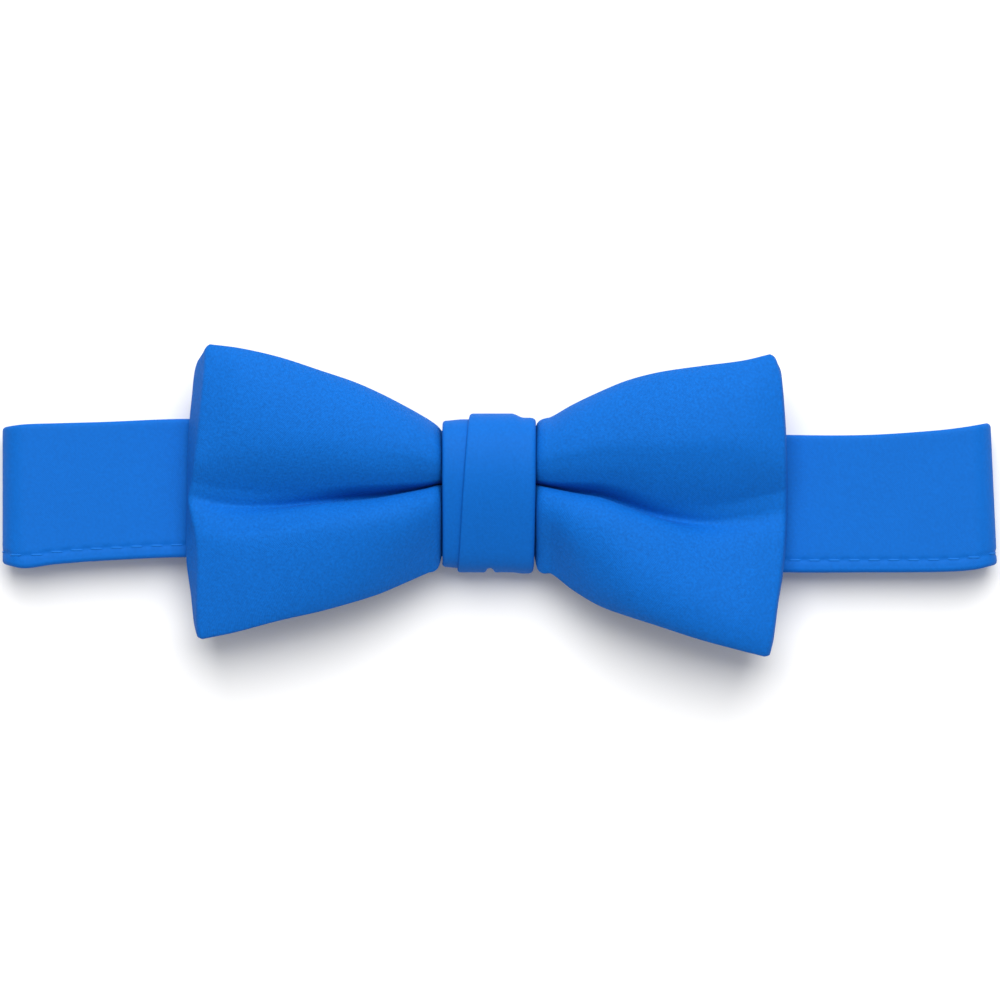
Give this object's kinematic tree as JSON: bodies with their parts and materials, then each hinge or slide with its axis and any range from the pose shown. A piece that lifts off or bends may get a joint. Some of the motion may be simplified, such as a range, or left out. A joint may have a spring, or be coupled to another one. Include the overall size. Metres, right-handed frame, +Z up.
{
  "type": "pre-tied bow tie",
  "caption": "Pre-tied bow tie lying face up: a winged bow pinched and pleated at its middle, a folded knot wrap, and a neck band pressed flat as a closed loop with a hidden slide clasp.",
  "frame": {"origin": "middle of the footprint, on the surface that the tie lies on", "axes": "+X along the neck band towards the wearer's left as seen from the front, +Y towards the top of the tie, +Z up out of the front of the bow"},
  "size_m": [0.1897, 0.0596, 0.021],
  "materials": {
    "bow_cloth": "royal blue matt satin with a fine pebbled weave",
    "knot_cloth": "royal blue matt satin, smoother than the bow",
    "band_cloth": "royal blue matt satin with a running stitch along one edge",
    "clasp_metal": "bright nickel plate"
  },
  "bodies": {
    "root": {"bow_loop": "bow_cloth", "knot_wrap": "knot_cloth", "neck_band": "band_cloth", "band_clasp": "clasp_metal"}
  },
  "joints": []
}
